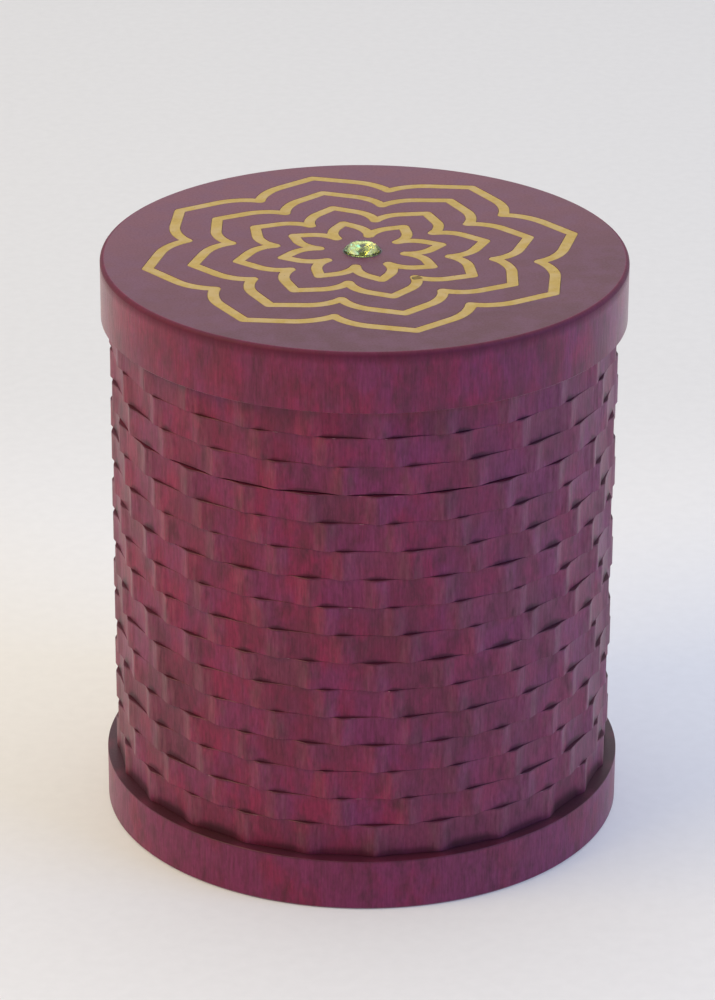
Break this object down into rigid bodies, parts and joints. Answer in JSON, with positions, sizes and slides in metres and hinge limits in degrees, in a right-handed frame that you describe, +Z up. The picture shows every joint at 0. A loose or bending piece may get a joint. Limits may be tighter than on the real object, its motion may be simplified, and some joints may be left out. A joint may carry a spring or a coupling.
{
  "type": "tea caddy",
  "caption": "Turned hardwood tea caddy with a basket-weave fluted wall and a lift-off lid inlaid with nested flower outlines round a small cut crystal.",
  "frame": {"origin": "centre of the foot, on the surface the caddy stands on", "axes": "+Z up along the turning axis, -Y towards the front"},
  "size_m": [0.0906, 0.0906, 0.1033],
  "materials": {
    "turned_wood": "satin lacquer",
    "gold_inlay": "sanded flush, satin",
    "crystal": "cut and polished, yellow-green",
    "adhesive": "cured, glossy"
  },
  "bodies": {
    "caddy": {"body": "turned_wood", "neck_ring": "turned_wood"},
    "cover": {"lid": "turned_wood", "inlay_flower_1": "gold_inlay", "inlay_flower_2": "gold_inlay", "inlay_flower_3": "gold_inlay", "inlay_flower_4": "gold_inlay", "crystal": "crystal", "crystal_adhesive": "adhesive"}
  },
  "joints": [
    {"name": "lid_lift", "type": "slide", "parent": "caddy", "child": "cover", "axis": [0, 0, 1], "range_m": [0, 0.05]}
  ]
}
